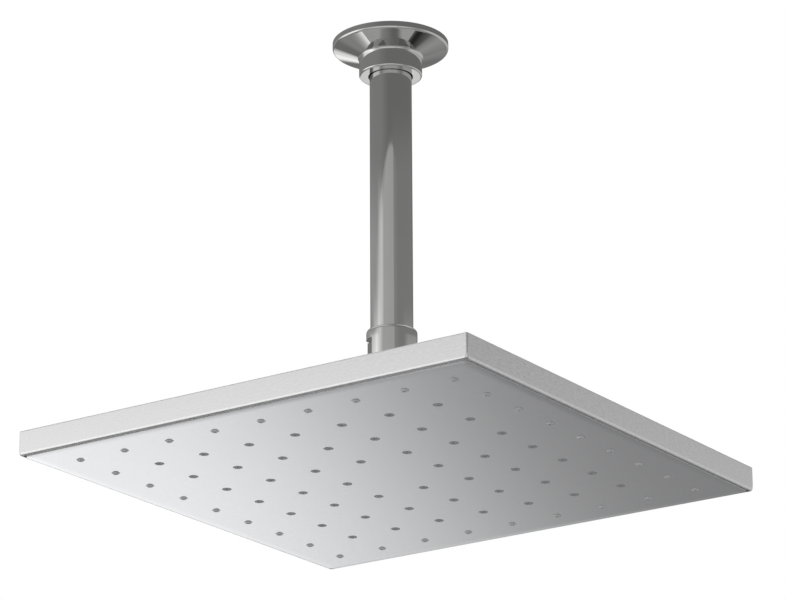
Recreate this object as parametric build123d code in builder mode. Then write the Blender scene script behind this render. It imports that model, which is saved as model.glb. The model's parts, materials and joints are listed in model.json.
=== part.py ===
from build123d import *
import os
from math import asin, cos, degrees, radians, sin, sqrt

# Square rain shower head on a short ceiling arm: arm, sliding flange, ball swivel and spray head.
# Millimetres, +Z up. The origin is on the arm's axis in the ceiling plane, and X runs along one
# side of the head.

os.makedirs("parts", exist_ok=True)

# Fits
thread_play = 0.05  # radial play of mating threads, which are left plain
slip_play = 0.25  # play of pieces that drop into each other
ball_play = 0.1  # gap between the ball, its two seats and their pocket

# Ceiling arm: half-inch pipe with a male thread at each end
arm_radius = 10.5
arm_bore_radius = 7.9
arm_drop = 151.0  # ceiling plane down to the swivel nut's top
inlet_relief = 0.25  # the inlet thread's crests lie this far inside the pipe's surface
outlet_relief = 0.3  # the lower thread is cut a little deeper
inlet_thread_rise = 7.0  # inlet thread above the ceiling plane
inlet_thread_length = 13.0
inlet_chamfer = 1.0
nut_engagement = 13.0  # arm thread inside the swivel nut

# Ceiling flange and the ring that grips the arm
flange_radius = 29.0
flange_wall = 1.6
rim_height = 3.6
rim_chamfer = 0.7
cone_drop = 4.5  # from the rim down to the collar's root
collar_length = 10.0
collar_wall = 3.15  # collar outside the ring's groove
collar_chamfer = 0.8
flange_play = 0.5  # open gap between collar and arm
grip_ring_height = 3.0
grip_ring_section = 2.0

# Swivel nut, screen and flow regulator
nut_wall = 2.25
nut_floor = 3.4  # metal under the regulator's pocket
nut_shoulder = 1.8
nut_chamfer = 1.5
flat_depth = 1.5  # wrench flats below the round of the nut
flat_start = 5.5  # plain band above the flats
flat_foot = 5.5  # plain band under the flats
flat_angle = 45.0  # flats against the head's sides
washer_thickness = 2.2
washer_bore_radius = 6.6
screen_sheet = 0.4
screen_crown = 3.0
regulator_radius = 6.9
regulator_height = 5.0
regulator_port_radius = 1.6
regulator_ring_section = 1.0
regulator_ring_height = 1.8

# Ball, its seats and the collar that holds them on the hub
ball_radius = 11.0
ball_bore_radius = 4.0
ball_mouth_radius = 5.0  # flat under the ball, round the waterway
neck_radius = 6.0
neck_gap = 3.0  # nut's underside to the ball's top
tilt_limit = 12.0  # degrees each way about X and about Y
tilt_margin = 1.5
lip_angle = 47.0  # edge of the collar's mouth, from the ball's upper pole
lip_flare = 0.6
seat_thickness = 1.8
seat_bottom_angle = 86.0
seal_lip = 1.3  # seal outside the ball
seal_height = 5.2
cap_wall = 2.5
cap_skirt = 9.5
cap_chamfer = 2.6
cap_flat_depth = 1.0

# Hub between swivel and head
hub_wall = 2.2
hub_shank = 12.4  # ball's lowest point down to the head's top
hub_body_step = 1.5  # plain body outside the thread
hub_flange_reach = 5.0  # flange outside the body
hub_flange_height = 3.5
throat_gap = 0.5  # ball to the hub's throat
stud_radius = 10.0
stud_bore_radius = 7.0
cover_washer_height = 1.0
hub_ring_height = 2.0

# Square head
head_side = 254.0
sheet = 1.2
corner_radius = 0.8
edge_rounding = 0.6
shadow_gap = 0.8  # open gap round the spray face, inside the cover's wall
face_stand = 0.45  # spray face below the wall's foot
face_corner = 2.5
face_thickness = 2.05
rim_width = 4.0
chamber_gap = 1.1  # free height between deflector and inlet
gasket_width = 1.5
gasket_depth = 1.0

# Back plate, insert and deflector
back_thickness = 2.0
boss_radius = 19.0
boss_height = 3.1  # back plate to the cover
insert_wall = 4.0
insert_flange = 3.0
insert_flange_height = 1.4
rib_width = 1.6
rib_count = 8
hook_thickness = 1.2
hook_width = 12.0
hook_reach = 0.8
hooks_per_side = 3
deflector_radius = 12.0
deflector_sheet = 1.0
deflector_foot_height = 0.8
deflector_foot_width = 2.0

# Nozzle field: square grid with its middle place left empty
nozzle_rows = 9
nozzle_margin = 20.8  # head's edge to the outer rows
nozzle_radius = 2.2
nozzle_rise = 0.2  # nearly flush inside the field
edge_nozzle_rise = 0.7  # the field's outer ring stands out further
orifice_radius = 0.7

# Levels along the arm's axis
inlet_thread_foot = inlet_thread_rise - inlet_thread_length
collar_root = -rim_height - cone_drop
flange_bottom = collar_root - collar_length
nut_top = -arm_drop
arm_bottom = nut_top - nut_engagement
socket_floor = arm_bottom - washer_thickness - screen_sheet
regulator_floor = socket_floor - regulator_height
nut_bottom = regulator_floor - nut_floor
ball_centre = nut_bottom - neck_gap - ball_radius
head_top = ball_centre - ball_radius - hub_shank
cover_under = head_top - sheet
back_top = cover_under - boss_height
chamber_top = back_top - back_thickness
chamber_height = insert_flange_height + chamber_gap + deflector_sheet + deflector_foot_height
plate_top = chamber_top - chamber_height
face_level = plate_top - face_thickness
wall_foot = face_level + face_stand
wall_height = head_top - wall_foot

# Radii that follow from the fits
inlet_thread_radius = arm_radius - inlet_relief
outlet_thread_radius = arm_radius - outlet_relief
flange_bore_radius = arm_radius + flange_play
grip_ring_inside = arm_radius + thread_play
grip_ring_outside = grip_ring_inside + grip_ring_section
grip_groove_radius = grip_ring_outside + thread_play
collar_radius = grip_groove_radius + collar_wall
nut_bore_radius = outlet_thread_radius + thread_play
nut_radius = nut_bore_radius + nut_wall
regulator_pocket_radius = regulator_radius + thread_play
seat_inside = ball_radius + ball_play
seat_outside = seat_inside + seat_thickness
pocket_radius = seat_outside + ball_play
seal_radius = ball_radius + seal_lip
seal_pocket_radius = seal_radius + ball_play
hub_thread_radius = seal_pocket_radius + hub_wall
cap_thread_radius = hub_thread_radius + thread_play
cap_radius = cap_thread_radius + cap_wall
hub_body_radius = hub_thread_radius + hub_body_step
hub_flange_radius = hub_body_radius + hub_flange_reach
insert_bore_radius = stud_radius + thread_play
insert_radius = insert_bore_radius + insert_wall

# Squares of the head
cover_inside = head_side - 2 * sheet
plug_side = cover_inside - 2 * shadow_gap
back_side = plug_side - 2 * hook_thickness - 2 * slip_play
nozzle_pitch = (head_side - 2 * nozzle_margin) / (nozzle_rows - 1)


def circles_at(piece, radius, level, slack=0.01):
    """The circular edges of a piece with this radius at this height."""
    rings = piece.edges().filter_by(GeomType.CIRCLE)
    rings = rings.filter_by_position(Axis.Z, level - slack, level + slack)
    return rings.filter_by(lambda ring: abs(ring.radius - radius) < slack)


# Arm: one straight pipe, turned down a little where its threads are
with BuildPart() as arm_tube:
    with BuildSketch(Plane.XZ):
        with BuildLine():
            Polyline(
                (arm_bore_radius, arm_bottom),
                (outlet_thread_radius, arm_bottom),
                (outlet_thread_radius, nut_top),
                (arm_radius, nut_top),
                (arm_radius, inlet_thread_foot),
                (inlet_thread_radius, inlet_thread_foot),
                (inlet_thread_radius, inlet_thread_rise),
                (arm_bore_radius, inlet_thread_rise),
                close=True,
            )
        make_face()
    revolve(axis=Axis.Z)
    chamfer(circles_at(arm_tube, inlet_thread_radius, inlet_thread_rise), inlet_chamfer)
arm_tube.part.label = "arm_tube"
export_step(arm_tube.part, "parts/arm_tube.step")

# Flange: hollow towards the ceiling, with a shallow cone and a grooved collar
grip_level = collar_root - collar_length / 2
with BuildPart() as ceiling_flange:
    with BuildSketch(Plane.XZ):
        with BuildLine():
            Polyline(
                (flange_radius - flange_wall, 0),
                (flange_radius, 0),
                (flange_radius, -rim_height),
                (collar_radius, collar_root),
                (collar_radius, flange_bottom),
                (flange_bore_radius, flange_bottom),
                (flange_bore_radius, grip_level - grip_ring_height / 2),
                (grip_groove_radius, grip_level - grip_ring_height / 2),
                (grip_groove_radius, grip_level + grip_ring_height / 2),
                (flange_bore_radius, grip_level + grip_ring_height / 2),
                (flange_bore_radius, collar_root + flange_wall),
                (collar_radius, collar_root + flange_wall),
                (flange_radius - flange_wall, -rim_height + flange_wall),
                close=True,
            )
        make_face()
    revolve(axis=Axis.Z)
    chamfer(circles_at(ceiling_flange, flange_radius, -rim_height), rim_chamfer)
    chamfer(circles_at(ceiling_flange, collar_radius, flange_bottom), collar_chamfer)
ceiling_flange.part.label = "ceiling_flange"
export_step(ceiling_flange.part, "parts/ceiling_flange.step")

with BuildPart() as flange_o_ring:
    with BuildSketch(Plane.XY.offset(grip_level - grip_ring_height / 2)):
        Circle(grip_ring_outside)
        Circle(grip_ring_inside, mode=Mode.SUBTRACT)
    extrude(amount=grip_ring_height)
flange_o_ring.part.label = "flange_o_ring"
export_step(flange_o_ring.part, "parts/flange_o_ring.step")

# Swivel ball: nut, neck and ball turned in one piece, then two wrench flats milled on the nut
ball_flat_level = ball_centre - sqrt(ball_radius**2 - ball_mouth_radius**2)
neck_foot = ball_centre + sqrt(ball_radius**2 - neck_radius**2)
with BuildPart() as swivel_ball:
    with BuildSketch(Plane.XZ):
        with BuildLine():
            ThreePointArc(
                (ball_mouth_radius, ball_flat_level), (ball_radius, ball_centre), (neck_radius, neck_foot)
            )
            Polyline(
                (neck_radius, neck_foot),
                (neck_radius, nut_bottom),
                (nut_radius - nut_chamfer, nut_bottom),
                (nut_radius, nut_bottom + nut_chamfer),
                (nut_radius, nut_top),
                (nut_bore_radius, nut_top),
                (nut_bore_radius, socket_floor),
                (regulator_pocket_radius, socket_floor),
                (regulator_pocket_radius, regulator_floor),
                (ball_bore_radius, regulator_floor),
                (ball_bore_radius, ball_flat_level),
                (ball_mouth_radius, ball_flat_level),
            )
        make_face()
    revolve(axis=Axis.Z)
    fillet(circles_at(swivel_ball, nut_radius, nut_top), nut_shoulder)
    with BuildSketch(Plane.XY.offset(nut_bottom + flat_foot)):
        with PolarLocations(nut_radius, 2, start_angle=flat_angle):
            Rectangle(2 * flat_depth, 2 * nut_radius)
    extrude(amount=nut_top - flat_start - nut_bottom - flat_foot, mode=Mode.SUBTRACT)
swivel_ball.part.label = "swivel_ball"
export_step(swivel_ball.part, "parts/swivel_ball.step")

# Screen: a thin hat whose brim is clamped under the washer
crown_radius = washer_bore_radius - slip_play
with BuildPart() as inlet_screen:
    with BuildSketch(Plane.XY.offset(socket_floor)):
        Circle(nut_bore_radius - slip_play)
    extrude(amount=screen_sheet)
    with BuildSketch(Plane.XY.offset(socket_floor)):
        Circle(crown_radius)
    extrude(amount=screen_sheet + screen_crown)
    with BuildSketch(Plane.XY.offset(socket_floor)):
        Circle(crown_radius - screen_sheet)
    extrude(amount=screen_crown, mode=Mode.SUBTRACT)
inlet_screen.part.label = "inlet_screen"
export_step(inlet_screen.part, "parts/inlet_screen.step")

with BuildPart() as screen_washer:
    with BuildSketch(Plane.XY.offset(socket_floor + screen_sheet)):
        Circle(nut_bore_radius - slip_play)
        Circle(washer_bore_radius, mode=Mode.SUBTRACT)
    extrude(amount=washer_thickness)
screen_washer.part.label = "screen_washer"
export_step(screen_washer.part, "parts/screen_washer.step")

# Flow regulator: a moulded plug with one port and a groove for its ring
ring_level = regulator_floor + (regulator_height - regulator_ring_height) / 2
ring_inside = regulator_radius - regulator_ring_section
with BuildPart() as flow_regulator:
    with BuildSketch(Plane.XY.offset(regulator_floor)):
        Circle(regulator_radius)
    extrude(amount=regulator_height)
    with BuildSketch(Plane.XY.offset(ring_level)):
        Circle(regulator_radius)
        Circle(ring_inside, mode=Mode.SUBTRACT)
    extrude(amount=regulator_ring_height, mode=Mode.SUBTRACT)
    with Locations((0, 0, socket_floor)):
        Hole(regulator_port_radius)
flow_regulator.part.label = "flow_regulator"
export_step(flow_regulator.part, "parts/flow_regulator.step")

with BuildPart() as regulator_o_ring:
    with BuildSketch(Plane.XY.offset(ring_level)):
        Circle(regulator_radius)
        Circle(ring_inside, mode=Mode.SUBTRACT)
    extrude(amount=regulator_ring_height)
regulator_o_ring.part.label = "regulator_o_ring"
export_step(regulator_o_ring.part, "parts/regulator_o_ring.step")

# Upper seat: a zone of a hollow sphere, so that ball and collar both turn on it
seat_top_angle = lip_angle + tilt_limit + tilt_margin
seat_span = seat_bottom_angle - seat_top_angle
with BuildPart() as ball_seat_ring:
    with BuildSketch(Plane.XZ):
        with BuildLine():
            outer_arc = CenterArc((0, ball_centre), seat_outside, 90 - seat_bottom_angle, seat_span)
            inner_arc = CenterArc((0, ball_centre), seat_inside, 90 - seat_bottom_angle, seat_span)
            Line(outer_arc @ 0, inner_arc @ 0)
            Line(outer_arc @ 1, inner_arc @ 1)
        make_face()
    revolve(axis=Axis.Z)
ball_seat_ring.part.label = "ball_seat_ring"
export_step(ball_seat_ring.part, "parts/ball_seat_ring.step")

# The hub's top lies below the lowest place that the tilted seat reaches
seat_floor = ball_centre + pocket_radius * cos(radians(seat_bottom_angle + tilt_limit + tilt_margin))
seal_top = seat_floor - ball_play
seal_bottom = seal_top - seal_height

# Lower seal: square outside, with a hollow that the ball sits in
seal_low_angle = degrees(asin((seal_bottom - ball_centre) / seat_inside))
seal_span = degrees(asin((seal_top - ball_centre) / seat_inside)) - seal_low_angle
with BuildPart() as ball_seal:
    with BuildSketch(Plane.XZ):
        with BuildLine():
            hollow = CenterArc((0, ball_centre), seat_inside, seal_low_angle, seal_span)
            Polyline(hollow @ 1, (seal_radius, seal_top), (seal_radius, seal_bottom), hollow @ 0)
        make_face()
    revolve(axis=Axis.Z)
ball_seal.part.label = "ball_seal"
export_step(ball_seal.part, "parts/ball_seal.step")

# Collar: cap nut with a flared mouth and a round pocket over the upper seat
mouth_radius = pocket_radius * sin(radians(lip_angle))
mouth_level = ball_centre + pocket_radius * cos(radians(lip_angle))
cap_top = mouth_level + lip_flare
cap_bottom = seat_floor - cap_skirt
with BuildPart() as swivel_collar:
    with BuildSketch(Plane.XZ):
        with BuildLine():
            pocket = CenterArc((0, ball_centre), pocket_radius, 0, 90 - lip_angle)
            Polyline(
                pocket @ 1,
                (mouth_radius + lip_flare, cap_top),
                (cap_radius - cap_chamfer, cap_top),
                (cap_radius, cap_top - cap_chamfer),
                (cap_radius, cap_bottom),
                (cap_thread_radius, cap_bottom),
                (cap_thread_radius, seat_floor),
                (pocket_radius, seat_floor),
                pocket @ 0,
            )
        make_face()
    revolve(axis=Axis.Z)
    with BuildSketch(Plane.XY.offset(cap_bottom)):
        with PolarLocations(cap_radius, 2, start_angle=flat_angle):
            Rectangle(2 * cap_flat_depth, 2 * cap_radius)
    extrude(amount=cap_skirt, mode=Mode.SUBTRACT)
swivel_collar.part.label = "swivel_collar"
export_step(swivel_collar.part, "parts/swivel_collar.step")

# Hub: socket above, flange on the cover, threaded stud down into the back plate's insert
washer_top = head_top + cover_washer_height
hub_flange_top = washer_top + hub_flange_height
throat_radius = sqrt((ball_radius + throat_gap) ** 2 - (seal_bottom - ball_centre) ** 2)
throat_bottom = ball_centre - ball_radius - throat_gap
stud_bottom = chamber_top - insert_flange_height
with BuildPart() as inlet_hub:
    with BuildSketch(Plane.XZ):
        with BuildLine():
            Polyline(
                (stud_bore_radius, stud_bottom),
                (stud_radius, stud_bottom),
                (stud_radius, washer_top),
                (hub_flange_radius, washer_top),
                (hub_flange_radius, hub_flange_top),
                (hub_body_radius, hub_flange_top),
                (hub_body_radius, cap_bottom - slip_play),
                (hub_thread_radius, cap_bottom - slip_play),
                (hub_thread_radius, seat_floor),
                (seal_pocket_radius, seat_floor),
                (seal_pocket_radius, seal_bottom),
                (throat_radius, seal_bottom),
                (throat_radius, throat_bottom),
                (stud_bore_radius, throat_bottom),
                close=True,
            )
        make_face()
    revolve(axis=Axis.Z)
    chamfer(circles_at(inlet_hub, hub_flange_radius, hub_flange_top), hub_flange_height / 2)
inlet_hub.part.label = "inlet_hub"
export_step(inlet_hub.part, "parts/inlet_hub.step")

with BuildPart() as cover_washer:
    with BuildSketch(Plane.XY.offset(head_top)):
        Circle(hub_body_radius)
        Circle(stud_radius + slip_play, mode=Mode.SUBTRACT)
    extrude(amount=cover_washer_height)
cover_washer.part.label = "cover_washer"
export_step(cover_washer.part, "parts/cover_washer.step")

# Cover: a square tray of sheet metal, open below, with eased edges
with BuildPart() as top_cover:
    with BuildSketch(Plane.XY.offset(wall_foot)):
        RectangleRounded(head_side, head_side, corner_radius)
    extrude(amount=wall_height)
    fillet(top_cover.faces().sort_by(Axis.Z)[-1].edges(), edge_rounding)
    chamfer(top_cover.faces().sort_by(Axis.Z)[0].edges(), sheet / 3)
    with BuildSketch(Plane.XY.offset(wall_foot)):
        Rectangle(cover_inside, cover_inside)
    extrude(amount=wall_height - sheet, mode=Mode.SUBTRACT)
    with Locations((0, 0, head_top)):
        Hole(stud_radius + slip_play)
top_cover.part.label = "top_cover"
export_step(top_cover.part, "parts/top_cover.step")

# Insert: threaded bush that carries the hub's pull on its flange under the back plate
with BuildPart() as inlet_insert:
    with BuildSketch(Plane.XY.offset(chamber_top - insert_flange_height)):
        Circle(insert_radius + insert_flange)
    extrude(amount=insert_flange_height)
    with BuildSketch(Plane.XY.offset(chamber_top)):
        Circle(insert_radius)
    extrude(amount=cover_under - hub_ring_height - chamber_top)
    with Locations((0, 0, cover_under)):
        Hole(insert_bore_radius)
inlet_insert.part.label = "inlet_insert"
export_step(inlet_insert.part, "parts/inlet_insert.step")

with BuildPart() as hub_o_ring:
    with BuildSketch(Plane.XY.offset(cover_under - hub_ring_height)):
        Circle(insert_radius)
        Circle(insert_bore_radius, mode=Mode.SUBTRACT)
    extrude(amount=hub_ring_height)
hub_o_ring.part.label = "hub_o_ring"
export_step(hub_o_ring.part, "parts/hub_o_ring.step")

# Back plate: ribbed lid of the water chamber, with a boss that meets the cover
rib_height = boss_height / 2
rib_pitch = back_side / rib_count
with BuildPart() as back_plate:
    with BuildSketch(Plane.XY.offset(chamber_top)):
        Rectangle(back_side, back_side)
    extrude(amount=back_thickness)
    with BuildSketch(Plane.XY.offset(back_top)):
        with GridLocations(back_side, rib_pitch, 1, rib_count):
            Rectangle(back_side - 4 * hook_width, rib_width)
    extrude(amount=rib_height)
    with BuildSketch(Plane.XY.offset(back_top)):
        Circle(boss_radius)
    extrude(amount=boss_height)
    with Locations((0, 0, cover_under)):
        Hole(insert_radius + thread_play)
back_plate.part.label = "back_plate"
export_step(back_plate.part, "parts/back_plate.step")

# Spray face: plate in the cover's mouth, chamber rim with a gasket groove, snap hooks and the nozzles
gasket_side = plug_side - rim_width - hook_thickness
hook_foot = chamber_top
hook_catch = back_top + thread_play
hook_top = back_top + boss_height / 2
hook_pitch = plug_side / (hooks_per_side + 1)
nozzle_grid = GridLocations(nozzle_pitch, nozzle_pitch, nozzle_rows, nozzle_rows)
nozzle_places = [place.position for place in nozzle_grid if place.position.length > nozzle_pitch / 2]
ring_start = nozzle_pitch * (nozzle_rows - 2) / 2
edge_places = [place for place in nozzle_places if max(abs(place.X), abs(place.Y)) > ring_start]
inner_places = [place for place in nozzle_places if max(abs(place.X), abs(place.Y)) < ring_start]
with BuildPart() as spray_face:
    with BuildSketch(Plane.XY.offset(face_level)):
        RectangleRounded(plug_side, plug_side, face_corner)
    extrude(amount=face_thickness)
    with BuildSketch(Plane.XY.offset(plate_top)):
        RectangleRounded(plug_side, plug_side, face_corner)
        Rectangle(plug_side - 2 * rim_width, plug_side - 2 * rim_width, mode=Mode.SUBTRACT)
    extrude(amount=chamber_height)
    with BuildSketch(Plane.XY.offset(chamber_top)):
        Rectangle(gasket_side + gasket_width, gasket_side + gasket_width)
        Rectangle(gasket_side - gasket_width, gasket_side - gasket_width, mode=Mode.SUBTRACT)
    extrude(amount=-gasket_depth, mode=Mode.SUBTRACT)
    for turn in range(4):
        out = Vector(1, 0, 0).rotate(Axis.Z, 90 * turn)
        along = Vector(0, -1, 0).rotate(Axis.Z, 90 * turn)
        for number in range(hooks_per_side):
            shift = (number - (hooks_per_side - 1) / 2) * hook_pitch - hook_width / 2
            with BuildSketch(Plane(along * shift, x_dir=out, z_dir=along)):
                with BuildLine():
                    Polyline(
                        (plug_side / 2, hook_foot),
                        (plug_side / 2, hook_top),
                        (plug_side / 2 - hook_thickness, hook_top),
                        (plug_side / 2 - hook_thickness - slip_play - hook_reach, hook_catch),
                        (plug_side / 2 - hook_thickness, hook_catch),
                        (plug_side / 2 - hook_thickness, hook_foot),
                        close=True,
                    )
                make_face()
            extrude(amount=hook_width)
    with BuildSketch(Plane.XY.offset(face_level)):
        with Locations(inner_places):
            Circle(nozzle_radius)
    extrude(amount=-nozzle_rise)
    with BuildSketch(Plane.XY.offset(face_level)):
        with Locations(edge_places):
            Circle(nozzle_radius)
    extrude(amount=-edge_nozzle_rise)
    with BuildSketch(Plane.XY.offset(face_level - edge_nozzle_rise)):
        with Locations(nozzle_places):
            Circle(orifice_radius)
    extrude(amount=edge_nozzle_rise + face_thickness, mode=Mode.SUBTRACT)
spray_face.part.label = "spray_face"
export_step(spray_face.part, "parts/spray_face.step")

with BuildPart() as chamber_gasket:
    with BuildSketch(Plane.XY.offset(chamber_top - gasket_depth)):
        Rectangle(gasket_side + gasket_width, gasket_side + gasket_width)
        Rectangle(gasket_side - gasket_width, gasket_side - gasket_width, mode=Mode.SUBTRACT)
    extrude(amount=gasket_depth)
chamber_gasket.part.label = "chamber_gasket"
export_step(chamber_gasket.part, "parts/chamber_gasket.step")

# Deflector: a disc on a cross-shaped foot, over the empty middle place of the nozzle field
with BuildPart() as flow_deflector:
    with BuildSketch(Plane.XY.offset(plate_top)):
        Rectangle(2 * deflector_radius - deflector_foot_width, deflector_foot_width)
        Rectangle(deflector_foot_width, 2 * deflector_radius - deflector_foot_width)
    extrude(amount=deflector_foot_height)
    with BuildSketch(Plane.XY.offset(plate_top + deflector_foot_height)):
        Circle(deflector_radius)
    extrude(amount=deflector_sheet)
flow_deflector.part.label = "flow_deflector"
export_step(flow_deflector.part, "parts/flow_deflector.step")
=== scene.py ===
"""Looks of a square rain shower head on a ceiling arm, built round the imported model."""

import json
import math
from typing import NamedTuple

import bpy
from mathutils import Matrix, Vector

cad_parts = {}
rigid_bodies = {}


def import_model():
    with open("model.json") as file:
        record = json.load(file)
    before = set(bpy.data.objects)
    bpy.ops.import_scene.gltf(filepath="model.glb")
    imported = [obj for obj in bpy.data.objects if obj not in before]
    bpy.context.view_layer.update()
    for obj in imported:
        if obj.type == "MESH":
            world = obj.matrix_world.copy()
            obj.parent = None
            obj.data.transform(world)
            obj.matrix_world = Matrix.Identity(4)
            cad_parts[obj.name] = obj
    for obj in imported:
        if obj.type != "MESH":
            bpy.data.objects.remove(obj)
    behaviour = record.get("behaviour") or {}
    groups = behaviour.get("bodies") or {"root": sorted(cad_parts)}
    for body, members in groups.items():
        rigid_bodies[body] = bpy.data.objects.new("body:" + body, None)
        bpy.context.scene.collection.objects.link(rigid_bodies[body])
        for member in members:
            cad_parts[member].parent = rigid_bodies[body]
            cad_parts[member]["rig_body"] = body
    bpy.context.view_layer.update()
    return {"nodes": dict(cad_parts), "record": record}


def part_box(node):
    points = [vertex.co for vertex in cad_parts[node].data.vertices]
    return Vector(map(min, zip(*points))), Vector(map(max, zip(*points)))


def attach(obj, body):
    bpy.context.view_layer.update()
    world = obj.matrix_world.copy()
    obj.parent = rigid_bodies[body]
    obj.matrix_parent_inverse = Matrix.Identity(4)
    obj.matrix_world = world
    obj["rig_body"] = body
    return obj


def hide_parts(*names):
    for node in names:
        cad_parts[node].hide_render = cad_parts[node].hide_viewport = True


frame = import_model()
scene = bpy.context.scene
MM = 0.001

# Camera, fitted to the photograph's edges
PHOTO_WIDTH = 786
FOCAL_PIXELS = 3652.7
SENSOR_WIDTH = 36.0
CAMERA_AZIMUTH = 34.451
CAMERA_ELEVATION = -19.278
CAMERA_ROLL = -0.286
CAMERA_DISTANCE = 1.7554
CAMERA_SIDESTEP = 0.0002
CAMERA_RISE = 0.0843
CAMERA_REACH = 100.0
AIM_LEVEL = -0.2253  # level on the arm's axis that the camera's distance is measured from

# Places and sizes that the nodes' boxes give
arm_low, arm_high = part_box("arm_tube")
flange_low, flange_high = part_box("ceiling_flange")
ball_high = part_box("swivel_ball")[1]
collar_low, collar_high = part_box("swivel_collar")
hub_low, hub_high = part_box("inlet_hub")
cover_low, cover_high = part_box("top_cover")
face_low, face_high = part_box("spray_face")
back_low, back_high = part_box("back_plate")

# Ceiling arm
ARM_BORE = 7.9 * MM
INLET_THREAD = 10.25 * MM
OUTLET_THREAD = 10.2 * MM
INLET_THREAD_LENGTH = 13.0 * MM
INLET_CHAMFER = 1.0 * MM
ARM_EASE = 0.2 * MM
THREAD_PITCH = 25.4 / 14 * MM
THREAD_DEPTH = 0.95 * MM
THREAD_FLAT = 0.125  # share of the depth by which crests and roots are flattened
THREAD_STEPS = 14  # rows of points a turn

# Ceiling flange
FLANGE_RIM = 3.6 * MM
FLANGE_WALL = 1.6 * MM
FLANGE_COLLAR = 15.75 * MM
FLANGE_COLLAR_LENGTH = 10.0 * MM
FLANGE_BORE = 11.0 * MM
FLANGE_ROUNDING = 1.2 * MM  # rim's lower edge and collar's root
FLANGE_FOOT_ROUNDING = 0.8 * MM
FLANGE_INNER_ROUNDING = 0.5 * MM
FLANGE_EASE = 0.3 * MM
GRIP_GROOVE = 12.6 * MM
GRIP_HEIGHT = 3.0 * MM

# Swivel: nut, neck and ball, cap nut, and hub on the head
NUT_BORE = 10.25 * MM
NUT_HEIGHT = 24.0 * MM
NUT_TRIM = 1.0 * MM  # the nut ends this far below its solid's top, and the arm reaches down to it
NUT_SOCKET = 15.6 * MM
NUT_POCKET = 6.95 * MM
NUT_POCKET_DEPTH = 5.0 * MM
NUT_SHOULDER = 1.8 * MM
NUT_MOUTH_EASE = 0.3 * MM
NUT_CHAMFER = 1.5 * MM
FLAT_DEPTH = 1.5 * MM
FLAT_MARGIN = 5.5 * MM  # plain bands above and under the nut's flats
FLAT_ANGLE = 45.0
FLAT_EASE = 0.15 * MM
BALL_RADIUS = 11.0 * MM
BALL_BORE = 4.0 * MM
BALL_MOUTH = 5.0 * MM
NECK_RADIUS = 6.0 * MM
NECK_GAP = 3.0 * MM
COLLAR_POCKET = 13.0 * MM
COLLAR_THREAD = 14.65 * MM
COLLAR_LIP_ANGLE = 47.0
COLLAR_LIP_FLARE = 0.6 * MM
COLLAR_SKIRT = 9.5 * MM
COLLAR_CHAMFER = 2.6 * MM
COLLAR_FLAT_DEPTH = 1.0 * MM
COLLAR_ROUNDING = 0.6 * MM
COLLAR_EASE = 0.4 * MM
HUB_THREAD = 14.6 * MM
HUB_BODY = 16.1 * MM
HUB_SEAL_POCKET = 12.4 * MM
HUB_SEAL_HEIGHT = 5.33 * MM
HUB_THROAT = 8.78 * MM
HUB_THROAT_GAP = 0.5 * MM
HUB_FLANGE_HEIGHT = 3.5 * MM
HUB_STUD = 10.0 * MM
HUB_BORE = 7.0 * MM
HUB_COLLAR_GAP = 0.25 * MM  # between the cap nut's foot and the hub's body
HUB_FILLET = 0.6 * MM
HUB_ROUNDING = 0.4 * MM
HUB_EASE = 0.3 * MM
WASHER_HEIGHT = 1.0 * MM

# Square head
SHEET = 1.2 * MM
HEAD_CORNER = 0.8 * MM
TOP_ROUNDING = 0.6 * MM
FOOT_ROUNDING = 1.0 * MM
FOOT_CORNER = 1.9 * MM  # the walls' corners open out towards the foot
FOOT_CORNER_HEIGHT = 3.0 * MM
FOOT_CORNER_STEPS = 6
STUD_HOLE = 10.25 * MM
FACE_CORNER = 2.5 * MM
FACE_ROUNDING = 0.05 * MM
FACE_CROWN = 5.0 * MM  # band along the edge in which the face curves up a little
FACE_CROWN_RISE = 0.09 * MM
FACE_CROWN_STEPS = 8
FACE_EASE = 0.08 * MM
FACE_STAND = 0.45 * MM
FACE_THICKNESS = 2.05 * MM
RIM_WIDTH = 4.0 * MM
INNER_CORNER = 0.1 * MM
GASKET_INSIDE = 243.3 * MM  # sides of the gasket's groove
GASKET_OUTSIDE = 246.3 * MM
GASKET_DEPTH = 1.0 * MM
HOOKS_PER_SIDE = 3
HOOK_WIDTH = 12.0 * MM
HOOK_THICKNESS = 1.2 * MM
HOOK_REACH = 1.05 * MM
HOOK_SLOPE = 1.5 * MM
HOOK_CROWN = 1.55 * MM  # hooks end this far below the back plate's top

# Nozzle field
NOZZLE_ROWS = 9
NOZZLE_MARGIN = 20.8 * MM
NOZZLE_RADIUS = 2.2 * MM
NOZZLE_RISE = 0.2 * MM
EDGE_NOZZLE_RISE = 0.7 * MM
NOZZLE_EASE = 0.15 * MM
NUB_RADIUS = 1.45 * MM  # tip of a nozzle in the outer ring
NUB_ROOT = 1.62 * MM
NUB_BASE = 1.9 * MM
NUB_EASE = 0.5 * MM
NUB_FILLET = 0.1 * MM
NUB_SKIRT = 0.05 * MM
SEAT_GAP = 0.1 * MM  # fine groove between a nozzle and its hole in the face
ORIFICE = 0.7 * MM
ORIFICE_FLARE = 0.25 * MM

head_side = cover_high.x - cover_low.x
head_top = cover_high.z
wall_foot = cover_low.z
face_side = face_high.x - face_low.x
face_level = wall_foot - FACE_STAND
plate_top = face_level + FACE_THICKNESS
chamber_top = back_low.z
nozzle_pitch = (head_side - 2 * NOZZLE_MARGIN) / (NOZZLE_ROWS - 1)
nut_top = ball_high.z - NUT_TRIM
nut_bottom = ball_high.z - NUT_HEIGHT
ball_centre = nut_bottom - NECK_GAP - BALL_RADIUS

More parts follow.
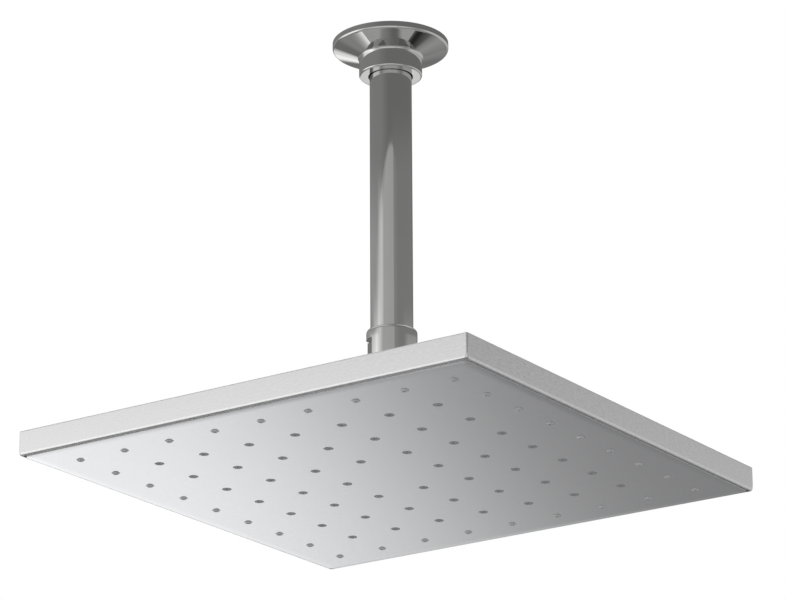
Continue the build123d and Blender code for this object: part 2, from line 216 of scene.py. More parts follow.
TURN_STEPS = 144  # facets round a turned piece
SQUARE_STEPS = 288  # facets round the square head
CORNER_STEPS = 6  # facets in a rounded edge
BALL_STEPS = 40
POCKET_STEPS = 20
HOLE_STEPS = 32  # facets round a nozzle, from the direction of its cell's corner
HOLE_ANGLES = [2 * math.pi * (step / HOLE_STEPS - 1 / 8) for step in range(HOLE_STEPS)]
QUARTER_TURNS = [Matrix.Rotation(quarter * math.pi / 2, 3, "Z") for quarter in range(4)]
SHARP_ANGLE = 35.0  # edges are sharp where faces meet at more than this
FLAT_SHARP_ANGLE = 20.0
TOP_FACING = 0.8  # a normal's rise from which a face of the cover counts as its top
FRONT_FACING = -0.5  # a normal's rise up to which the spray face has its satin front
POINT_GRID = 1e-7  # points that round to the same place on this grid are shared


# Mesh helpers

def rounded(corners):
    """A profile of (radius, level, rounding) corners, with arcs at the rounded ones."""
    points = []
    for index, (x, y, rounding) in enumerate(corners):
        corner = Vector((x, y))
        if rounding == 0:
            points.append(corner)
            continue
        before = (Vector(corners[index - 1][:2]) - corner).normalized()
        after = (Vector(corners[(index + 1) % len(corners)][:2]) - corner).normalized()
        half = before.angle(after) / 2
        reach = rounding / math.tan(half)
        centre = corner + (before + after).normalized() * rounding / math.sin(half)
        start = corner + before * reach - centre
        sweep = start.angle_signed(corner + after * reach - centre)
        for step in range(CORNER_STEPS + 1):
            turn = Matrix.Rotation(-sweep * step / CORNER_STEPS, 2)
            points.append(centre + turn @ start)
    return points


def arc(centre, radius, start, end, steps):
    """Profile points on an arc, by its angles from the radius axis in degrees."""
    angles = [math.radians(start + (end - start) * step / steps) for step in range(steps + 1)]
    return [Vector((radius * math.cos(a), centre + radius * math.sin(a))) for a in angles]


def turn_angles(extra=()):
    """Even angles round a turned piece, with a few exact ones added."""
    even = [2 * math.pi * (step + 0.5) / TURN_STEPS for step in range(TURN_STEPS)]
    return sorted(even + [math.radians(angle % 360) for angle in extra])


def circle(radius, level, angles):
    """Points of a level circle round the arm's axis."""
    return [Vector((radius * math.cos(a), radius * math.sin(a), level)) for a in angles]


def square(side, corner, level):
    """Points of a level square with rounded corners, anticlockwise from the corner at +X +Y."""
    arc_steps = 2 * CORNER_STEPS
    run_steps = SQUARE_STEPS // 4 - arc_steps
    reach = side / 2 - corner
    points = []
    for turn in QUARTER_TURNS:
        for step in range(arc_steps):
            angle = math.pi / 2 * step / arc_steps
            x = reach + corner * math.cos(angle)
            y = reach + corner * math.sin(angle)
            points.append(turn @ Vector((x, y, level)))
        for step in range(run_steps):
            points.append(turn @ Vector((reach * (1 - 2 * step / run_steps), side / 2, level)))
    return points


def new_piece(name, points, faces, materials, face_materials=None):
    """A mesh piece with smooth faces, and sharp edges where they meet at a large angle."""
    mesh = bpy.data.meshes.new(name)
    mesh.from_pydata([tuple(point) for point in points], [], faces)
    for material in materials:
        mesh.materials.append(material)
    if face_materials:
        mesh.polygons.foreach_set("material_index", face_materials)
    mesh.polygons.foreach_set("use_smooth", [True] * len(mesh.polygons))
    mesh.set_sharp_from_angle(angle=math.radians(SHARP_ANGLE))
    piece = bpy.data.objects.new(name, mesh)
    scene.collection.objects.link(piece)
    even = piece.modifiers.new("even_normals", "WEIGHTED_NORMAL")
    even.keep_sharp = True
    return piece


def band_faces(loops, count):
    """Quads between loops of equally many points, and from the last loop back to the first."""
    faces = []
    for loop in range(loops):
        low, high = loop * count, (loop + 1) % loops * count
        for step in range(count):
            after = (step + 1) % count
            faces.append((low + step, low + after, high + after, high + step))
    return faces


def lofted(name, loops, material):
    """A piece from closed loops of points, each joined to the next and the last to the first."""
    points = [point for loop in loops for point in loop]
    return new_piece(name, points, band_faces(len(loops), len(loops[0])), [material])


def turned(name, profile, material, angles=None):
    """A piece turned round the arm's axis from a closed profile, given anticlockwise."""
    angles = angles or turn_angles()
    return lofted(name, [circle(point.x, point.y, angles) for point in profile], material)


def flatten(piece, depth, radius, bottom, top):
    """Two opposite flats on a turned piece, between two levels."""
    normal = Vector((math.cos(math.radians(FLAT_ANGLE)), math.sin(math.radians(FLAT_ANGLE)), 0))
    for vertex in piece.data.vertices:
        reach = vertex.co.dot(normal)
        if bottom < vertex.co.z < top and abs(reach) > radius - depth:
            vertex.co -= normal * (reach - math.copysign(radius - depth, reach))
    piece.data.set_sharp_from_angle(angle=math.radians(FLAT_SHARP_ANGLE))


def flat_edges(depth, radius):
    """Angles of the edges of two opposite flats."""
    half = math.degrees(math.acos((radius - depth) / radius))
    return [FLAT_ANGLE + turn + side * half for turn in (0, 180) for side in (-1, 1)]


def stands_for(piece, node):
    """The piece replaces a node and rides on that node's body."""
    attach(piece, frame["nodes"][node]["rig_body"])
    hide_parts(node)


# Materials

NOISE_DETAIL = 3.0
NOISE_LOW = 0.3  # most of a noise lies between these two values
NOISE_HIGH = 0.7
EVEN = (1, 1, 1)
ALONG_WALL = (110, 110, 360)
ALONG_X = (6, 700, 6)
ROUND_AXIS = (1, 1, 8)


def node_material(name):
    """A material with its tree, its shader and its place in metres."""
    material = bpy.data.materials.new(name)
    material.use_nodes = True
    tree = material.node_tree
    shader = tree.nodes["Principled BSDF"]
    place = tree.nodes.new("ShaderNodeTexCoord").outputs["Object"]
    return material, tree, shader, place


def noise(tree, place, scale, stretch=EVEN):
    """Noise over the object's own place, stretched along its axes."""
    mapping = tree.nodes.new("ShaderNodeMapping")
    mapping.inputs["Scale"].default_value = stretch
    tree.links.new(place, mapping.inputs["Vector"])
    texture = tree.nodes.new("ShaderNodeTexNoise")
    texture.inputs["Scale"].default_value = scale
    texture.inputs["Detail"].default_value = NOISE_DETAIL
    tree.links.new(mapping.outputs["Vector"], texture.inputs["Vector"])
    return texture.outputs["Fac"]


def spread(tree, value, low, high):
    """A noise value brought into a range."""
    ramp = tree.nodes.new("ShaderNodeMapRange")
    ramp.inputs["From Min"].default_value = NOISE_LOW
    ramp.inputs["From Max"].default_value = NOISE_HIGH
    ramp.inputs["To Min"].default_value = low
    ramp.inputs["To Max"].default_value = high
    tree.links.new(value, ramp.inputs["Value"])
    return ramp.outputs["Result"]


def tint(tree, value, dark, light):
    """A colour between two, by a noise value."""
    mix = tree.nodes.new("ShaderNodeMix")
    mix.data_type = "RGBA"
    mix.inputs["A"].default_value = (*dark, 1)
    mix.inputs["B"].default_value = (*light, 1)
    tree.links.new(value, mix.inputs["Factor"])
    return mix.outputs["Result"]


def bump(tree, height, depth):
    """A bump of the given depth in metres."""
    node = tree.nodes.new("ShaderNodeBump")
    node.inputs["Distance"].default_value = depth
    tree.links.new(height, node.inputs["Height"])
    return node.outputs["Normal"]


def metal(name, dark, light, rough, grain, stretch, depth):
    """Metal with a grain: colour, roughness and bump follow the same stretched noise."""
    material, tree, shader, place = node_material(name)
    lines = noise(tree, place, grain, stretch=stretch)
    shader.inputs["Metallic"].default_value = 1.0
    tree.links.new(tint(tree, lines, dark, light), shader.inputs["Base Color"])
    tree.links.new(spread(tree, lines, *rough), shader.inputs["Roughness"])
    tree.links.new(bump(tree, lines, depth), shader.inputs["Normal"])
    return material


def moulded(name, dark, light, rough, grain, depth):
    """Rubber or plastic with a fine moulded skin."""
    material, tree, shader, place = node_material(name)
    skin = noise(tree, place, grain)
    tree.links.new(tint(tree, skin, dark, light), shader.inputs["Base Color"])
    tree.links.new(spread(tree, skin, *rough), shader.inputs["Roughness"])
    tree.links.new(bump(tree, skin, depth), shader.inputs["Normal"])
    return material


brushed_wall = metal(
    "brushed_wall", (0.60,) * 3, (0.90,) * 3,
    rough=(0.26, 0.36), grain=3.0, stretch=ALONG_WALL, depth=4e-6,
)
brushed_top = metal(
    "brushed_top", (0.70,) * 3, (0.80,) * 3,
    rough=(0.26, 0.36), grain=3.0, stretch=ALONG_X, depth=4e-6,
)
polished = metal(
    "polished", (0.60, 0.60, 0.59), (0.66, 0.66, 0.65),
    rough=(0.015, 0.03), grain=40.0, stretch=EVEN, depth=1e-6,
)
satin = metal(
    "satin", (0.735, 0.74, 0.755), (0.775, 0.78, 0.795),
    rough=(0.13, 0.16), grain=900.0, stretch=EVEN, depth=2e-6,
)
turned_brass = metal(
    "turned_brass", (0.62, 0.46, 0.20), (0.76, 0.60, 0.30),
    rough=(0.2, 0.35), grain=400.0, stretch=ROUND_AXIS, depth=4e-6,
)
steel_mesh = metal(
    "steel_mesh", (0.40,) * 3, (0.66,) * 3,
    rough=(0.25, 0.4), grain=1800.0, stretch=EVEN, depth=4e-5,
)
rubber = moulded(
    "rubber", (0.15, 0.15, 0.155), (0.22, 0.22, 0.225),
    rough=(0.45, 0.6), grain=1500.0, depth=2e-5,
)
# Painted shade: a darker copy of the one silicone, for the inner nozzles, standing in for the shade in
# their orifices and seats
silicone_painted_shade = moulded(
    "silicone_painted_shade", (0.42, 0.42, 0.43), (0.48, 0.48, 0.49),
    rough=(0.3, 0.42), grain=1500.0, depth=1e-5,
)
# Painted highlight: a lighter copy of the same silicone, for the outer ring, standing in for the
# highlights on its domes
silicone_painted_highlight = moulded(
    "silicone_painted_highlight", (0.60, 0.60, 0.61), (0.68, 0.68, 0.69),
    rough=(0.16, 0.26), grain=1500.0, depth=1e-5,
)
white_plastic = moulded(
    "white_plastic", (0.78, 0.78, 0.76), (0.88, 0.88, 0.86),
    rough=(0.35, 0.5), grain=900.0, depth=1e-5,
)
grey_plastic = moulded(
    "grey_plastic", (0.30, 0.30, 0.31), (0.40, 0.40, 0.41),
    rough=(0.35, 0.5), grain=900.0, depth=1e-5,
)
edge_plastic = moulded(
    "edge_plastic", (0.66, 0.66, 0.665), (0.74, 0.74, 0.745),
    rough=(0.45, 0.6), grain=900.0, depth=1e-5,
)

SLOT_MATERIALS = {
    "brushed_nickel": brushed_wall,
    "polished_nickel": polished,
    "satin_face": satin,
    "soft_rubber": rubber,
    "white_plastic": white_plastic,
    "grey_plastic": grey_plastic,
    "plain_brass": turned_brass,
    "steel_mesh": steel_mesh,
}
for entry in frame["record"]["subparts"]:
    mesh = frame["nodes"][entry["node"]].data
    mesh.materials.clear()
    mesh.materials.append(SLOT_MATERIALS[entry["material_slot"]])


# Ceiling arm: a pipe with a cut thread at each end

def thread(radius, bottom, top, angles, end_chamfer=0.0):
    """Loops of a pipe thread with its crests at the radius, and a chamfer of a size at its upper end."""
    rows = round((top - bottom) / THREAD_PITCH * THREAD_STEPS)
    loops = []
    for row in range(rows + 1):
        level = bottom + (top - bottom) * row / rows
        loop = []
        for angle in angles:
            phase = (level / THREAD_PITCH - angle / (2 * math.pi)) % 1
            slope = abs(2 * phase - 1) * (1 + 2 * THREAD_FLAT) - THREAD_FLAT
            cut = min(max(slope, 0), 1) * THREAD_DEPTH
            limit = radius - max(0, level - top + end_chamfer)
            reach = min(radius - cut, limit)
            loop.append(Vector((reach * math.cos(angle), reach * math.sin(angle), level)))
        loops.append(loop)
    return loops


def ceiling_arm():
    """The arm, from the bore's lower end round the outside and back through the bore."""
    angles = turn_angles()
    radius = arm_high.x
    thread_foot = arm_high.z - INLET_THREAD_LENGTH
    loops = [circle(ARM_BORE, arm_low.z, angles), circle(OUTLET_THREAD - THREAD_DEPTH, arm_low.z, angles)]
    loops += thread(OUTLET_THREAD, arm_low.z, nut_top, angles)
    loops += [circle(radius, nut_top, angles), circle(radius, thread_foot - ARM_EASE, angles)]
    loops += thread(INLET_THREAD, thread_foot, arm_high.z, angles, INLET_CHAMFER)
    loops.append(circle(ARM_BORE + ARM_EASE, arm_high.z, angles))
    loops.append(circle(ARM_BORE, arm_high.z - ARM_EASE, angles))
    piece = lofted("ceiling_arm", loops, polished)
    stands_for(piece, "arm_tube")


def flange():
    """The hollow ceiling flange: rim, shallow cone and grooved collar."""
    radius = flange_high.x
    bottom = flange_low.z
    root = bottom + FLANGE_COLLAR_LENGTH
    grip = root - FLANGE_COLLAR_LENGTH / 2
    profile = rounded(
        [
            (FLANGE_BORE, bottom, FLANGE_EASE),
            (FLANGE_COLLAR, bottom, FLANGE_FOOT_ROUNDING),
            (FLANGE_COLLAR, root, FLANGE_ROUNDING),
            (radius, -FLANGE_RIM, FLANGE_ROUNDING),
            (radius, 0, FLANGE_EASE),
            (radius - FLANGE_WALL, 0, FLANGE_EASE),
            (radius - FLANGE_WALL, -FLANGE_RIM + FLANGE_WALL, FLANGE_INNER_ROUNDING),
            (FLANGE_COLLAR, root + FLANGE_WALL, FLANGE_INNER_ROUNDING),
            (FLANGE_BORE, root + FLANGE_WALL, FLANGE_EASE),
            (FLANGE_BORE, grip + GRIP_HEIGHT / 2, 0),
            (GRIP_GROOVE, grip + GRIP_HEIGHT / 2, 0),
            (GRIP_GROOVE, grip - GRIP_HEIGHT / 2, 0),
            (FLANGE_BORE, grip - GRIP_HEIGHT / 2, 0),
        ]
    )
    piece = turned("flange", profile, polished)
    stands_for(piece, "ceiling_flange")


# Swivel

def swivel():
    """Nut, neck and ball in one piece, with two wrench flats on the nut."""
    radius = ball_high.x
    socket = ball_high.z - NUT_SOCKET
    flat_top = nut_top - FLAT_MARGIN
    flat_bottom = nut_bottom + FLAT_MARGIN
    mouth = math.degrees(math.acos(BALL_MOUTH / BALL_RADIUS))
    neck = math.degrees(math.acos(NECK_RADIUS / BALL_RADIUS))
    ball = arc(ball_centre, BALL_RADIUS, -mouth, neck, BALL_STEPS)
    profile = [Vector((BALL_BORE, ball[0].y))] + ball
    profile += rounded(
        [
            (NECK_RADIUS, nut_bottom, 0),
            (radius - NUT_CHAMFER, nut_bottom, 0),
            (radius, nut_bottom + NUT_CHAMFER, 0),
            (radius, flat_bottom - FLAT_EASE, 0),
            (radius, flat_bottom + FLAT_EASE, 0),
            (radius, flat_top - FLAT_EASE, 0),
            (radius, flat_top + FLAT_EASE, 0),
            (radius, nut_top, NUT_SHOULDER),
            (NUT_BORE, nut_top, NUT_MOUTH_EASE),
            (NUT_BORE, socket, 0),
            (NUT_POCKET, socket, 0),
            (NUT_POCKET, socket - NUT_POCKET_DEPTH, 0),
            (BALL_BORE, socket - NUT_POCKET_DEPTH, 0),
        ]
    )
    piece = turned("swivel", profile, polished, turn_angles(flat_edges(FLAT_DEPTH, radius)))
    flatten(piece, FLAT_DEPTH, radius, flat_bottom, flat_top)
    stands_for(piece, "swivel_ball")


def cap_nut():
    """The collar over the ball: flared mouth, round pocket and a skirt with two flats."""
    radius = collar_high.x
    top, bottom = collar_high.z, collar_low.z
    seat = bottom + COLLAR_SKIRT
    pocket = arc(ball_centre, COLLAR_POCKET, 90 - COLLAR_LIP_ANGLE, 0, POCKET_STEPS)
    profile = rounded(
        [
            (COLLAR_THREAD, bottom, 0),
            (radius, bottom, COLLAR_EASE),
            (radius, seat - FLAT_EASE, 0),
            (radius, seat + FLAT_EASE, 0),
            (radius, top - COLLAR_CHAMFER, COLLAR_ROUNDING),
            (radius - COLLAR_CHAMFER, top, COLLAR_ROUNDING),
            (pocket[0].x + COLLAR_LIP_FLARE, top, 0),
        ]
    )
    profile += pocket
    profile += [Vector((COLLAR_POCKET, seat)), Vector((COLLAR_THREAD, seat))]
    piece = turned("cap_nut", profile, polished, turn_angles(flat_edges(COLLAR_FLAT_DEPTH, radius)))
    flatten(piece, COLLAR_FLAT_DEPTH, radius, bottom - FLAT_EASE, seat)
    stands_for(piece, "swivel_collar")


def hub():
    """Socket under the cap nut, flange on the head's cover and a stud through it."""
    radius = hub_high.x
    top, bottom = hub_high.z, hub_low.z
    under = head_top + WASHER_HEIGHT
    over = under + HUB_FLANGE_HEIGHT
    seal = top - HUB_SEAL_HEIGHT
    throat = ball_centre - BALL_RADIUS - HUB_THROAT_GAP
    thread_foot = collar_low.z - HUB_COLLAR_GAP
    profile = rounded(
        [
            (HUB_BORE, bottom, 0),
            (HUB_STUD, bottom, HUB_ROUNDING),
            (HUB_STUD, under, 0),
            (radius, under, HUB_EASE),
            (radius, over - HUB_FLANGE_HEIGHT / 2, HUB_ROUNDING),
            (radius - HUB_FLANGE_HEIGHT / 2, over, HUB_ROUNDING),
            (HUB_BODY, over, HUB_FILLET),
            (HUB_BODY, thread_foot, HUB_EASE),
            (HUB_THREAD, thread_foot, 0),
            (HUB_THREAD, top, 0),
            (HUB_SEAL_POCKET, top, 0),
            (HUB_SEAL_POCKET, seal, 0),
            (HUB_THROAT, seal, 0),
            (HUB_THROAT, throat, 0),
            (HUB_BORE, throat, 0),
        ]
    )
    piece = turned("hub", profile, polished)
    stands_for(piece, "inlet_hub")


# Square head

def round_from(loop, radius, level):
    """A circle whose points lie at the same angles as a loop's points."""
    return [Vector((*(point.xy.normalized() * radius), level)) for point in loop]


def cover():
    """The sheet-metal tray: rounded top edge, eased foot and a hole for the hub's stud."""
    outside = head_side / 2
    under = head_top - SHEET
    inside = head_side - 2 * SHEET
    wall_start = wall_foot + FOOT_ROUNDING
    wall_step = FOOT_CORNER_HEIGHT / FOOT_CORNER_STEPS
    outline = rounded(
        [
            (inside / 2, wall_foot, 0),
            (outside, wall_foot, FOOT_ROUNDING),
            *[(outside, wall_start + step * wall_step, 0) for step in range(1, FOOT_CORNER_STEPS + 1)],
            (outside, head_top, TOP_ROUNDING),
            (0, head_top, 0),
        ]
    )[:-1]
    loops = []
    for point in outline:
        inset = outside - point.x
        opening = 1 - (point.y - wall_foot) / (FOOT_ROUNDING + FOOT_CORNER_HEIGHT)
        corner = HEAD_CORNER + (FOOT_CORNER - HEAD_CORNER) * max(opening, 0) ** 2
        loops.append(square(2 * point.x, max(corner - inset, INNER_CORNER), point.y))
    top_edge = loops[-1]
    loops.append(round_from(top_edge, STUD_HOLE, head_top))
    loops.append(round_from(top_edge, STUD_HOLE, under))
    loops.append(square(inside, INNER_CORNER, under))
    piece = lofted("cover", loops, brushed_wall)
    piece.data.materials.append(brushed_top)
    for polygon in piece.data.polygons:
        polygon.material_index = int(polygon.normal.z > TOP_FACING)
    stands_for(piece, "top_cover")


def nozzle_places():
    """Places of the nozzles, and whether each is in the field's outer ring; the middle has none."""
    middle = (NOZZLE_ROWS - 1) // 2
    places = []
    for row in range(-middle, middle + 1):
        for column in range(-middle, middle + 1):
            if row or column:
                ring = max(abs(row), abs(column)) == middle
                places.append((Vector((column * nozzle_pitch, row * nozzle_pitch, 0)), ring))
    return places


def revolved(profile, places):
    """Points and faces of copies of one small turned form, from a closed profile, at several places."""
    points, faces = [], []
    for place in places:
        start = len(points)
        for point in profile:
            points += [at + place for at in circle(point.x, point.y, HOLE_ANGLES)]
        faces += [tuple(start + index for index in face) for face in band_faces(len(profile), HOLE_STEPS)]
    return points, faces


def nozzles():
    """Soft nozzles in the face's holes, the outer ring standing out further than the rest."""
    flat_tip = face_level - NOZZLE_RISE
    nub_tip = face_level - EDGE_NOZZLE_RISE
    skirt = face_level - NUB_SKIRT
    flat = [
        (ORIFICE, plate_top, 0),
        (ORIFICE, flat_tip, ORIFICE_FLARE),
        (NOZZLE_RADIUS, flat_tip, NOZZLE_EASE),
        (NOZZLE_RADIUS, plate_top, 0),
    ]
    nub = [
        (ORIFICE, plate_top, 0),
        (ORIFICE, nub_tip, ORIFICE_FLARE),
        (NUB_RADIUS, nub_tip, NUB_EASE),
        (NUB_ROOT, skirt, NUB_FILLET),
        (NUB_BASE, skirt, NUB_SKIRT),
        (NUB_BASE, plate_top, 0),
    ]
    points, faces, materials = [], [], []
    for ring, corners in ((False, flat), (True, nub)):
        places = [place for place, outer in nozzle_places() if outer == ring]
        more_points, more_faces = revolved(rounded(corners), places)
        faces += [tuple(len(points) + i for i in face) for face in more_faces]
        points += more_points
        materials += [int(ring)] * len(more_faces)
    # the inner nozzles take the darker copy of the silicone (painted shade), the outer ring the lighter
    # copy (painted highlight)
    piece = new_piece("nozzles", points, faces, [silicone_painted_shade, silicone_painted_highlight], face_materials=materials)
    stands_for(piece, "spray_face")


def cell_loop(place, half, level):
    """Points on a square cell's border, as many as a nozzle's hole has."""
    per_side = HOLE_STEPS // 4
    points = []
    for turn in QUARTER_TURNS:
        for step in range(per_side):
            points.append(place + turn @ Vector((half, half * (2 * step / per_side - 1), level)))
    return points


class Patch:
    """Points and faces of a mesh, in which points at the same place are shared."""

    def __init__(self):
        self.points, self.faces, self.known = [], [], {}

    def add(self, point):
        key = tuple(round(value / POINT_GRID) for value in point)
        if key not in self.known:
            self.known[key] = len(self.points)
            self.points.append(point)
        return self.known[key]

    def face(self, loop):
        self.faces.append(tuple(self.add(point) for point in loop))

    def bridge(self, loops):
        """Quads between loops of equally many points."""
        for low, high in zip(loops, loops[1:]):
            for step in range(len(low)):
                after = (step + 1) % len(low)
                self.face((low[step], low[after], high[after], high[step]))


def field_loop(level):
    """Points round the whole nozzle field, in step with a square's points."""
    half = nozzle_pitch * NOZZLE_ROWS / 2
    per_side = SQUARE_STEPS // 4
    points = []
    for turn in QUARTER_TURNS:
        for step in range(per_side):
            points.append(turn @ Vector((half * (1 - 2 * step / per_side), half, level)))
    return points[-CORNER_STEPS:] + points[:-CORNER_STEPS]


def add_hooks(patch):
    """Snap hooks on the rim, which hold the back plate."""
    outside = face_side / 2
    inside = outside - HOOK_THICKNESS
    hook_top = back_high.z - HOOK_CROWN
    profile = [
        (outside, chamber_top),
        (outside, hook_top),
        (inside, hook_top),
        (inside - HOOK_REACH, hook_top - HOOK_SLOPE),
        (inside, hook_top - HOOK_SLOPE),
        (inside, chamber_top),
    ]
    pitch = face_side / (HOOKS_PER_SIDE + 1)
    for turn in QUARTER_TURNS:
        for number in range(HOOKS_PER_SIDE):
            middle = (number - (HOOKS_PER_SIDE - 1) / 2) * pitch
            ends = [
                [turn @ Vector((out, middle + side * HOOK_WIDTH / 2, level)) for out, level in profile]
                for side in (1, -1)
            ]
            patch.bridge(ends)
            patch.face(ends[0][::-1])
            patch.face(ends[1])


def face_plate():
    """The spray face's plate with its nozzle seats, and its rim with gasket groove and hooks."""
    patch = Patch()
    half = nozzle_pitch / 2
    for place, ring in nozzle_places():
        seat = (NUB_BASE if ring else NOZZLE_RADIUS) + SEAT_GAP
        seats = [(seat, plate_top), (seat, face_level + FACE_EASE), (seat + FACE_EASE, face_level)]
        rings = [[at + place for at in circle(radius, level, HOLE_ANGLES)] for radius, level in seats]
        patch.bridge([cell_loop(place, half, plate_top), *rings, cell_loop(place, half, face_level)])
    middle = Vector((0, 0, 0))
    patch.face(cell_loop(middle, half, plate_top))
    patch.face(cell_loop(middle, half, face_level)[::-1])
    rim_inside = face_side - 2 * RIM_WIDTH
    outside = face_side / 2
    crown = []
    for step in range(FACE_CROWN_STEPS):
        share = step / FACE_CROWN_STEPS
        crown.append((outside - FACE_CROWN * (1 - share), face_level + FACE_CROWN_RISE * share**2, 0))
    edge = rounded(
        [
            *crown,
            (outside, face_level + FACE_CROWN_RISE, FACE_ROUNDING),
            (outside, chamber_top, 0),
        ]
    )
    patch.bridge(
        [
            field_loop(face_level),
            *[square(2 * at.x, max(FACE_CORNER - outside + at.x, INNER_CORNER), at.y) for at in edge],
            square(GASKET_OUTSIDE, INNER_CORNER, chamber_top),
            square(GASKET_OUTSIDE, INNER_CORNER, chamber_top - GASKET_DEPTH),
            square(GASKET_INSIDE, INNER_CORNER, chamber_top - GASKET_DEPTH),
            square(GASKET_INSIDE, INNER_CORNER, chamber_top),
            square(rim_inside, INNER_CORNER, chamber_top),
            square(rim_inside, INNER_CORNER, plate_top),
            field_loop(plate_top),
        ]
    )
    add_hooks(patch)
    piece = new_piece("face_plate", patch.points, patch.faces, [satin, edge_plastic])
    for polygon in piece.data.polygons:
        polygon.material_index = int(polygon.normal.z > FRONT_FACING)
    stands_for(piece, "spray_face")


ceiling_arm()
flange()
swivel()
cap_nut()
hub()
cover()
face_plate()
nozzles()


# Studio: soft boxes and cards round the object, placed by their direction from it

class Panel(NamedTuple):
    """One soft box or card, in degrees round the object and above the horizon."""

    side: float  # its middle, from the camera round to the right
    width: float
    side_fade: float
    bottom: float
    bottom_fade: float
    top: float
    top_fade: float
    light: float
    slant: float = 0.0  # sideways lean for each degree of rise
    bow: float = 0.0  # drop of its top for each degree squared off the camera's direction


BASE_LIGHT = 0.20
SLANT_LEVEL = -17.0  # rise at which a slanting panel's middle is given
PANELS = [
    Panel(-24, 72, 4, -16, 10, 21.73, 0.04, 0.17, bow=0.00024),  # front card, with a sharp upper edge
    Panel(-14, 60, 24, -16, 10, 21.73, 0.04, 0.12, bow=0.0004),  # glow on that card
    Panel(-60, 26, 10, -10, 10, 20.9, 0.5, 0.33),  # strip light on the left
    Panel(-77, 20, 8, -10, 10, 19.9, 0.7, 0.18),  # its dimmer neighbour
    Panel(-105, 90, 12, -10, 10, 20.8, 1.0, 0.14),  # left wall
    Panel(-92, 116, 28, 10, 10, 70, 10, 0.08),  # left wall's upper part
    Panel(-88, 50, 12, -40, 8, 18.5, 1.2, 0.93),  # large box on the left
    Panel(75, 130, 15, -14, 8, 21.8, 0.6, 0.07),  # right wall
    Panel(112, 90, 15, -40, 8, 18.5, 0.8, 0.42),  # card on the right
    Panel(186.9, 12.8, 3.4, -21.5, 1.5, -12, 3, 0.835, -1.0),  # box behind, low on the left
    Panel(194.5, 13, 3, -18.5, 1.5, -4, 4, 0.66),  # box beside it
    Panel(188.0, 12, 2.5, -14.3, 1.8, -5, 4, 0.36),  # strip above these
    Panel(180, 60, 20, -20, 2, -8, 6, 0.06),  # glow round these
    Panel(180, 4, 1.5, -25, 1, -21.8, 0.7, 0.66),  # box behind, lower
    Panel(199, 6, 1.5, -55, 2, -44, 2, 0.90),  # small box behind, lowest
    Panel(161, 8, 2, -55, 2, -44, 2, -0.21),  # black card beside it
    Panel(194, 64, 12, -80, 8, -34, 4, 0.11),  # light from the floor behind
    Panel(0, 100, 25, -52, 8, 6, 6, 0.45),  # light from the floor in front
    Panel(-65, 130, 30, 27, 2.5, 80, 10, 0.20),  # overhead on the left
    Panel(115, 70, 20, 27, 2.5, 80, 10, 0.20),  # overhead on the right
    Panel(180, 160, 30, 38, 4, 80, 10, 0.30),  # overhead behind
    Panel(0, 400, 1, 50, 20, 120, 1, 0.15),  # overhead
]
HALF_TURN = 180.0
LIGHT_MAP_WIDTH = 1024
FLOOR_LEVEL = -2.9
FLOOR_RADIUS = 60.0
FLOOR_GRAIN = 60.0
FLOOR_DARK = (0.84, 0.84, 0.83)
FLOOR_PALE = (0.88, 0.88, 0.87)
FLOOR_ROUGH = (0.7, 0.9)
FLOOR_GLOW = 0.62  # the floor's share of light from the rest of the room
SOFT_BOX_PLACE = Vector((-0.9, -1.2, 1.6))
SOFT_BOX_SIZE = 1.4
SOFT_BOX_POWER = 12.0


def add_math(tree, operation, *values):
    """A maths node on sockets or plain numbers."""
    node = tree.nodes.new("ShaderNodeMath")
    node.operation = operation
    for socket, value in zip(node.inputs, values):
        if isinstance(value, (int, float)):
            socket.default_value = value
        else:
            tree.links.new(value, socket)
    return node.outputs[0]


def falls(tree, value, edge, fade):
    """1 below an edge and 0 above it, with a soft change."""
    node = tree.nodes.new("ShaderNodeMapRange")
    node.interpolation_type = "SMOOTHSTEP"
    node.inputs["From Min"].default_value = edge - fade
    node.inputs["From Max"].default_value = edge + fade
    node.inputs["To Min"].default_value = 1.0
    node.inputs["To Max"].default_value = 0.0
    tree.links.new(value, node.inputs["Value"])
    return node.outputs["Result"]


def panel_light(tree, panel, side, rise):
    """How much of a panel is seen in a direction."""
    across = add_math(tree, "SUBTRACT", side, panel.side)
    if panel.slant:
        lean = add_math(tree, "SUBTRACT", rise, SLANT_LEVEL)
        across = add_math(tree, "MULTIPLY_ADD", lean, -panel.slant, across)
    across = add_math(tree, "ABSOLUTE", add_math(tree, "WRAP", across, HALF_TURN, -HALF_TURN))
    inside = falls(tree, across, panel.width / 2, panel.side_fade)
    bowed_rise = rise
    if panel.bow:
        squared = add_math(tree, "MULTIPLY", side, side)
        bowed_rise = add_math(tree, "MULTIPLY_ADD", squared, panel.bow, rise)
    below_top = falls(tree, bowed_rise, panel.top, panel.top_fade)
    above_bottom = add_math(tree, "SUBTRACT", 1.0, falls(tree, rise, panel.bottom, panel.bottom_fade))
    return add_math(tree, "MULTIPLY", inside, add_math(tree, "MULTIPLY", below_top, above_bottom))


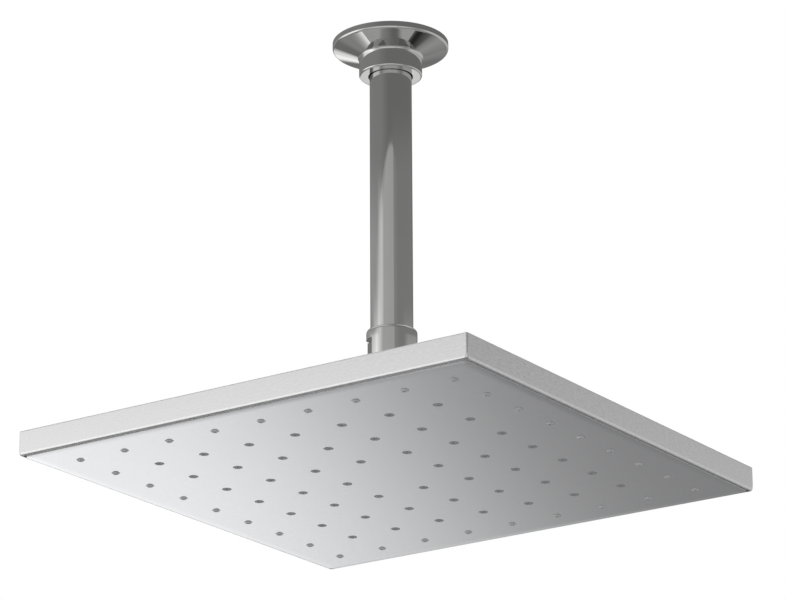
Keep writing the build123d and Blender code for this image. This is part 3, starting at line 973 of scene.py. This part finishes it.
def studio():
    """The world: white where the camera sees it, and the panels for all other rays."""
    world = bpy.data.worlds.new("studio")
    scene.world = world
    world.use_nodes = True
    tree = world.node_tree
    tree.nodes.clear()
    direction = tree.nodes.new("ShaderNodeTexCoord").outputs["Generated"]
    parts = tree.nodes.new("ShaderNodeSeparateXYZ")
    tree.links.new(direction, parts.inputs["Vector"])
    backwards = add_math(tree, "MULTIPLY", parts.outputs["Y"], -1.0)
    azimuth = add_math(tree, "DEGREES", add_math(tree, "ARCTAN2", parts.outputs["X"], backwards))
    side = add_math(tree, "SUBTRACT", azimuth, CAMERA_AZIMUTH)
    rise = add_math(tree, "DEGREES", add_math(tree, "ARCSINE", parts.outputs["Z"]))
    light = BASE_LIGHT
    for panel in PANELS:
        light = add_math(tree, "MULTIPLY_ADD", panel_light(tree, panel, side, rise), panel.light, light)
    seen = tree.nodes.new("ShaderNodeLightPath").outputs["Is Camera Ray"]
    unseen = add_math(tree, "SUBTRACT", 1.0, seen)
    shown = add_math(tree, "MULTIPLY_ADD", light, unseen, seen)
    background = tree.nodes.new("ShaderNodeBackground")
    background.inputs["Color"].default_value = (1, 1, 1, 1)
    tree.links.new(shown, background.inputs["Strength"])
    output = tree.nodes.new("ShaderNodeOutputWorld")
    tree.links.new(background.outputs["Background"], output.inputs["Surface"])
    world.cycles.sampling_method = "MANUAL"
    world.cycles.sample_map_resolution = LIGHT_MAP_WIDTH


def pale_floor():
    """A plain pale floor far below, which the camera sees and the object doesn't mirror."""
    material, tree, shader, place = node_material("pale_floor")
    grain = noise(tree, place, FLOOR_GRAIN)
    colour = tint(tree, grain, FLOOR_DARK, FLOOR_PALE)
    tree.links.new(colour, shader.inputs["Base Color"])
    tree.links.new(colour, shader.inputs["Emission Color"])
    tree.links.new(spread(tree, grain, *FLOOR_ROUGH), shader.inputs["Roughness"])
    shader.inputs["Emission Strength"].default_value = FLOOR_GLOW
    edge = circle(FLOOR_RADIUS, FLOOR_LEVEL, turn_angles())
    floor = new_piece("floor", edge, [tuple(range(TURN_STEPS))], [material])
    floor.visible_glossy = False
    floor.visible_diffuse = False


def soft_box():
    """A soft light above on the left, for the parts that don't mirror."""
    data = bpy.data.lights.new("soft_box", "AREA")
    data.size = SOFT_BOX_SIZE
    data.energy = SOFT_BOX_POWER
    light = bpy.data.objects.new("soft_box", data)
    light.location = SOFT_BOX_PLACE
    light.rotation_euler = (-SOFT_BOX_PLACE).to_track_quat("-Z", "Y").to_euler()
    light.visible_camera = False
    light.visible_glossy = False
    scene.collection.objects.link(light)


studio()
pale_floor()
soft_box()
scene.view_settings.view_transform = "Standard"


def add_camera():
    """The camera at the photograph's viewpoint."""
    azimuth, elevation = math.radians(CAMERA_AZIMUTH), math.radians(CAMERA_ELEVATION)
    back = Vector(
        (
            math.sin(azimuth) * math.cos(elevation),
            -math.cos(azimuth) * math.cos(elevation),
            math.sin(elevation),
        )
    )
    right = Vector((math.cos(azimuth), math.sin(azimuth), 0))
    up = back.cross(right)
    turn = Matrix.Rotation(math.radians(CAMERA_ROLL), 3, back)
    right, up = turn @ right, turn @ up
    place = Vector((0, 0, AIM_LEVEL)) + back * CAMERA_DISTANCE
    place += right * CAMERA_SIDESTEP + up * CAMERA_RISE
    data = bpy.data.cameras.new("camera")
    data.sensor_width = SENSOR_WIDTH
    data.lens = FOCAL_PIXELS / PHOTO_WIDTH * SENSOR_WIDTH
    data.clip_end = CAMERA_REACH
    camera = bpy.data.objects.new("camera", data)
    camera.matrix_world = Matrix.Translation(place) @ Matrix((right, up, back)).transposed().to_4x4()
    scene.collection.objects.link(camera)
    scene.camera = camera


add_camera()
